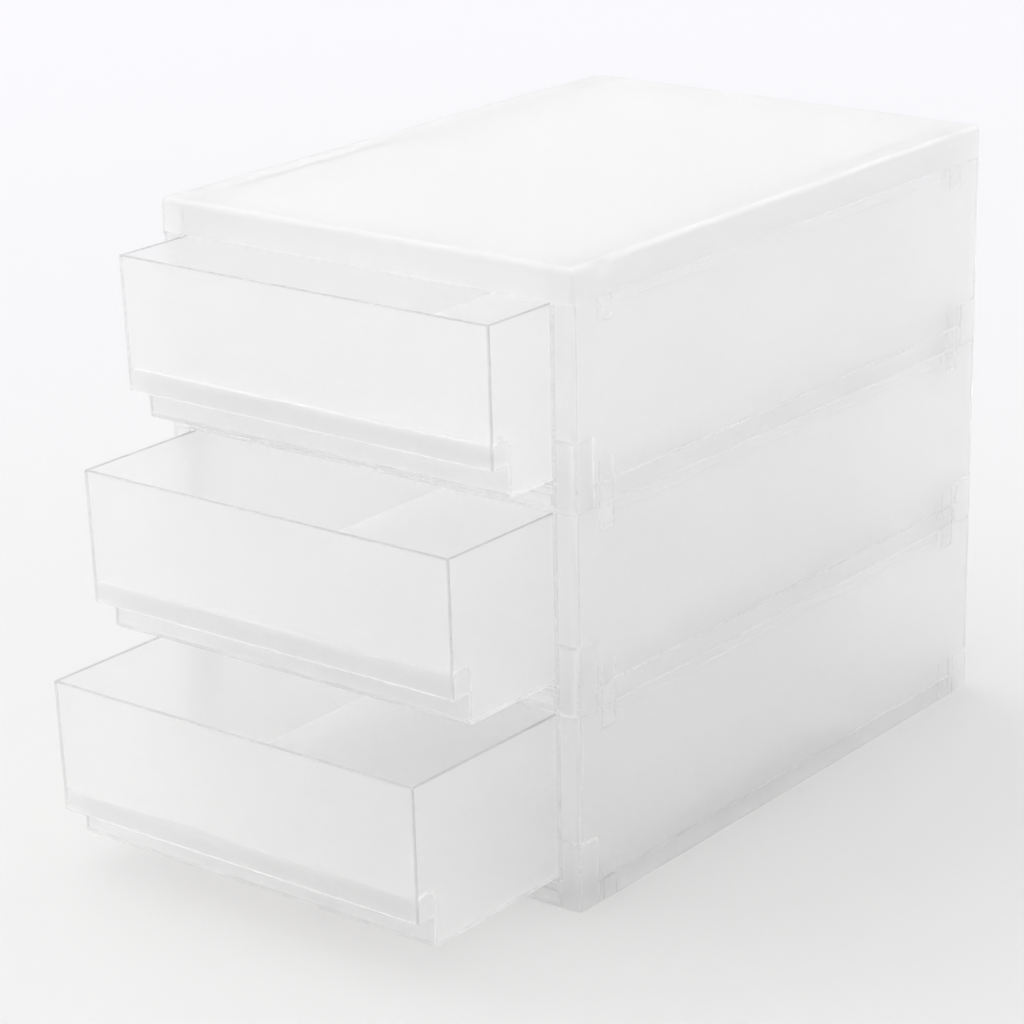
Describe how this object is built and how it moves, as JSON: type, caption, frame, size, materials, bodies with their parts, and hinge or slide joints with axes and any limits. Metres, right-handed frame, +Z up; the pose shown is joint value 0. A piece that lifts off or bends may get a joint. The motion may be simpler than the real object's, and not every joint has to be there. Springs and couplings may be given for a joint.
{
  "type": "drawer organizer",
  "caption": "Stackable three-drawer organizer in translucent plastic, with a flat cover, finger grooves under the drawer fronts and drawers that slide out.",
  "frame": {"origin": "middle of the case's front edge, on the floor", "axes": "+Z up, +Y from the front to the back, +X to the right seen from the front; the drawers open towards -Y"},
  "size_m": [0.26, 0.478, 0.325],
  "materials": {
    "case_plastic": "translucent frosted polypropylene",
    "drawer_plastic": "translucent frosted polypropylene",
    "cover_plastic": "translucent frosted polypropylene",
    "peg_plastic": "translucent polypropylene"
  },
  "bodies": {
    "case": {"case_tier_bottom": "case_plastic", "case_tier_middle": "case_plastic", "case_tier_top": "case_plastic", "top_cover": "cover_plastic", "joint_peg_lower_front_left": "peg_plastic", "joint_peg_lower_front_right": "peg_plastic", "joint_peg_lower_rear_left": "peg_plastic", "joint_peg_lower_rear_right": "peg_plastic", "joint_peg_upper_front_left": "peg_plastic", "joint_peg_upper_front_right": "peg_plastic", "joint_peg_upper_rear_left": "peg_plastic", "joint_peg_upper_rear_right": "peg_plastic", "joint_peg_cover_front_left": "peg_plastic", "joint_peg_cover_front_right": "peg_plastic", "joint_peg_cover_rear_left": "peg_plastic", "joint_peg_cover_rear_right": "peg_plastic"},
    "drawer_bottom": {"drawer_bottom": "drawer_plastic"},
    "drawer_middle": {"drawer_middle": "drawer_plastic"},
    "drawer_top": {"drawer_top": "drawer_plastic"}
  },
  "joints": [
    {"name": "drawer_bottom_slide", "type": "slide", "parent": "case", "child": "drawer_bottom", "axis": [0, -1, 0], "range_m": [-0.108, 0.184]},
    {"name": "drawer_middle_slide", "type": "slide", "parent": "case", "child": "drawer_middle", "axis": [0, -1, 0], "range_m": [-0.078, 0.214]},
    {"name": "drawer_top_slide", "type": "slide", "parent": "case", "child": "drawer_top", "axis": [0, -1, 0], "range_m": [-0.045, 0.247]}
  ]
}
